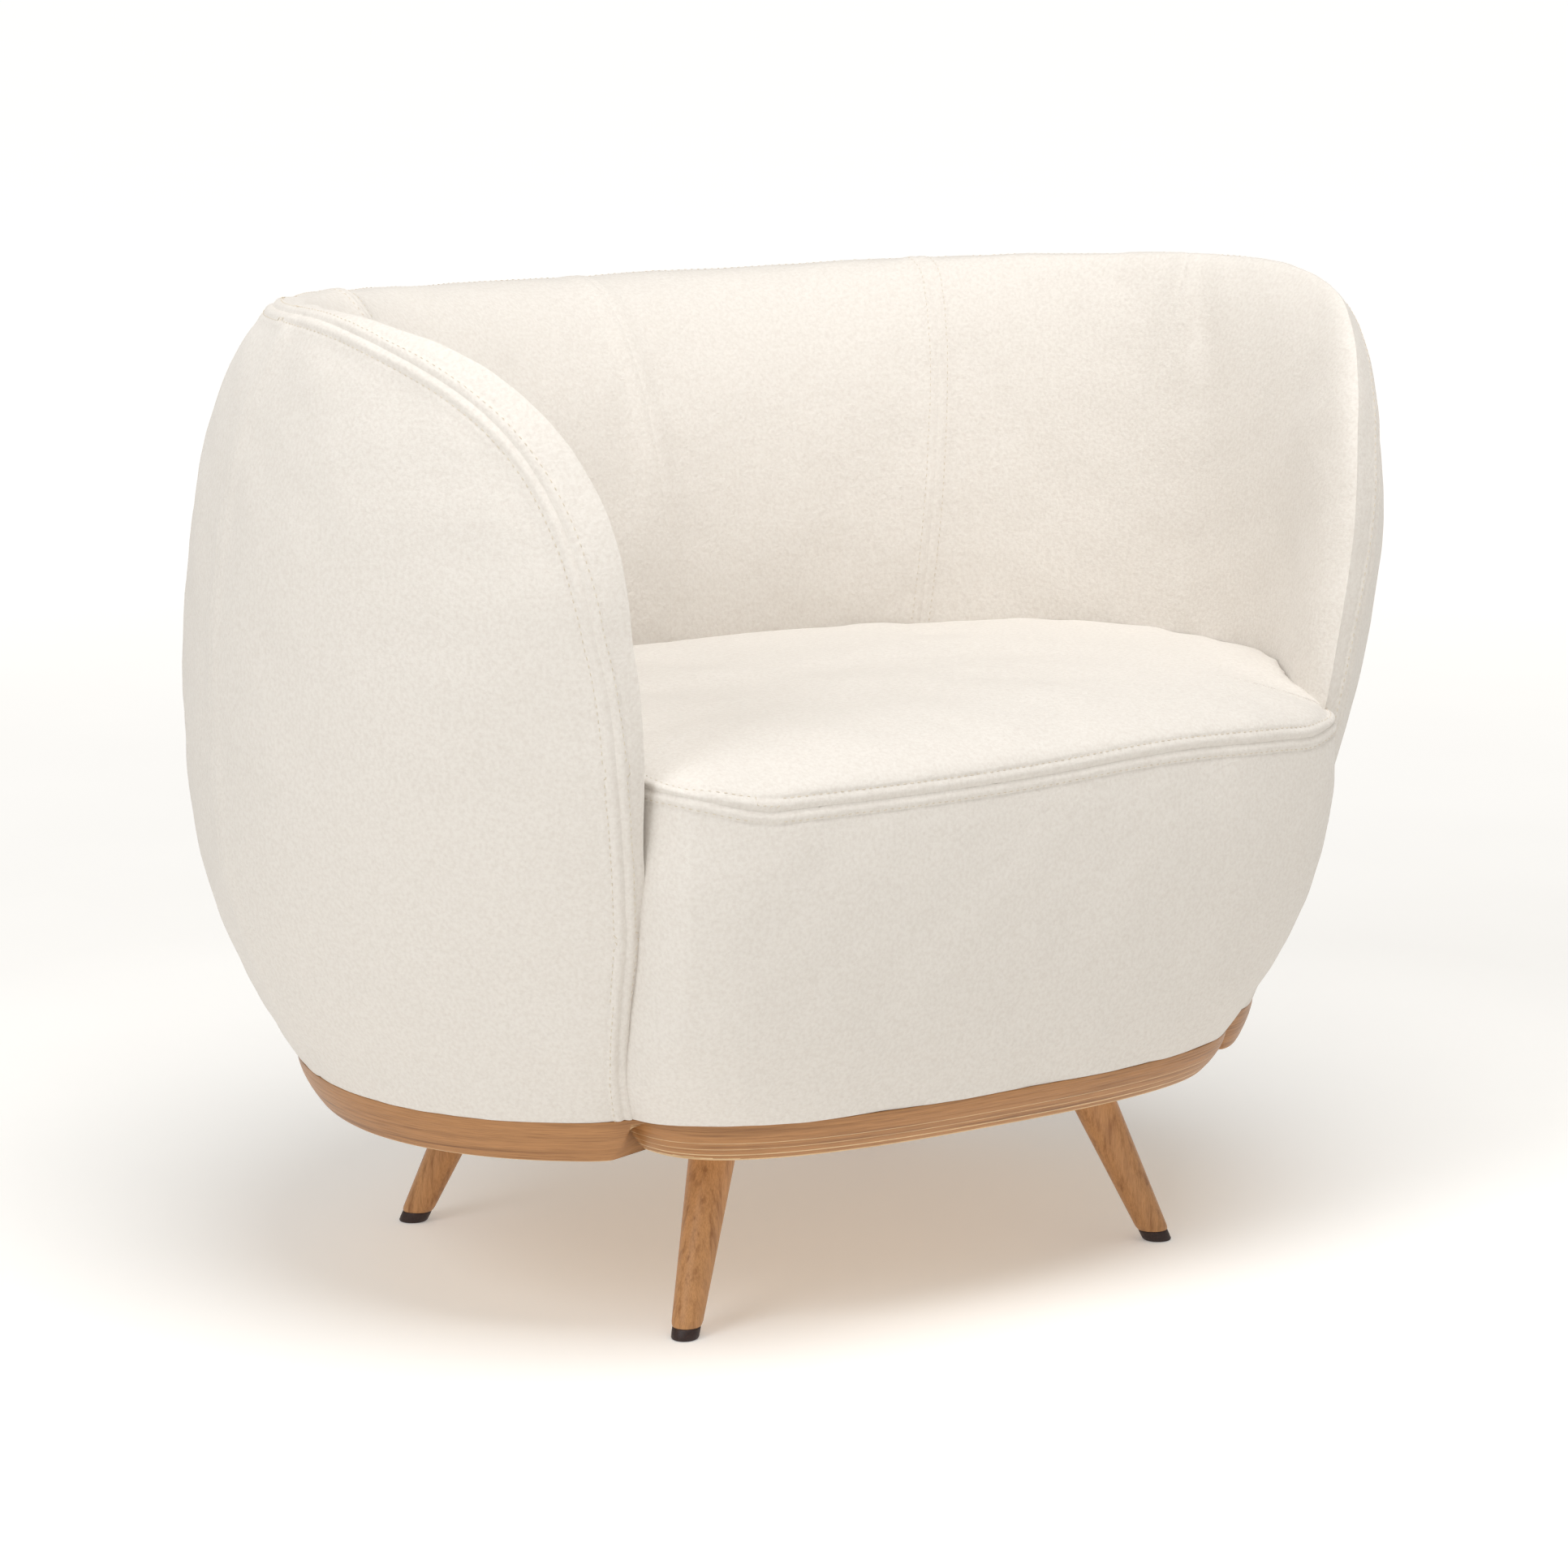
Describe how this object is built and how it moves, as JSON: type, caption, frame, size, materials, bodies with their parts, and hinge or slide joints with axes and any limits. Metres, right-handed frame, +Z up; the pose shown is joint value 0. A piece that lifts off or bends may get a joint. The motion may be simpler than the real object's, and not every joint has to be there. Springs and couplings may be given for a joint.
{
  "type": "upholstered tub armchair",
  "caption": "Low tub armchair with a continuous padded shell of arms and back, a rounded built-in seat, a thin shaped wooden plinth and splayed tapered wooden legs.",
  "frame": {"origin": "on the floor, under the middle of the chair's bounding box", "axes": "+Z up, the seat faces -Y, +X is towards the sitter's left arm seen from the chair (right-hand side seen from the front)"},
  "size_m": [0.896, 0.6959, 0.7046],
  "materials": {
    "wool_fabric": "felted off-white wool",
    "foam": "open-cell upholstery foam",
    "oak": "clear matt lacquer, fine grain",
    "glide_plastic": "dark brown nylon",
    "zinc_steel": "zinc plated",
    "birch_ply": "raw plywood",
    "beech": "raw sawn",
    "webbing": "woven elastic strap",
    "felt": "grey needled felt"
  },
  "bodies": {
    "root": {"plinth_board": "oak", "leg_front_left": "oak", "leg_front_right": "oak", "leg_rear_left": "oak", "leg_rear_right": "oak", "glide_front_left": "glide_plastic", "glide_front_right": "glide_plastic", "glide_rear_left": "glide_plastic", "glide_rear_right": "glide_plastic", "glide_nails": "zinc_steel", "leg_bolts": "zinc_steel", "leg_inserts": "zinc_steel", "plinth_screws": "zinc_steel", "base_rail": "birch_ply", "belt_rail": "birch_ply", "top_rail": "birch_ply", "back_post_left": "beech", "back_post_right": "beech", "side_post_left": "beech", "side_post_right": "beech", "arm_post_left": "beech", "arm_post_right": "beech", "board_outer": "birch_ply", "board_inner": "birch_ply", "foam_outer_back": "foam", "foam_outer_left": "foam", "foam_outer_right": "foam", "foam_inner_back": "foam", "foam_inner_left": "foam", "foam_inner_right": "foam", "seat_rail_front": "beech", "seat_rail_rear": "beech", "seat_rail_left": "beech", "seat_rail_right": "beech", "seat_posts": "beech", "webbing_lengthwise": "webbing", "webbing_crosswise": "webbing", "seat_felt": "felt", "seat_core": "foam", "seat_topper": "foam", "seat_front_board": "birch_ply", "seat_front_foam": "foam", "cover_seat_top": "wool_fabric", "cover_seat_front": "wool_fabric", "cover_outer_back": "wool_fabric", "cover_outer_left": "wool_fabric", "cover_outer_right": "wool_fabric", "cover_inner_back_left": "wool_fabric", "cover_inner_back_right": "wool_fabric", "cover_inner_side_left": "wool_fabric", "cover_inner_side_right": "wool_fabric", "cover_inner_arm_left": "wool_fabric", "cover_inner_arm_right": "wool_fabric"}
  },
  "joints": []
}
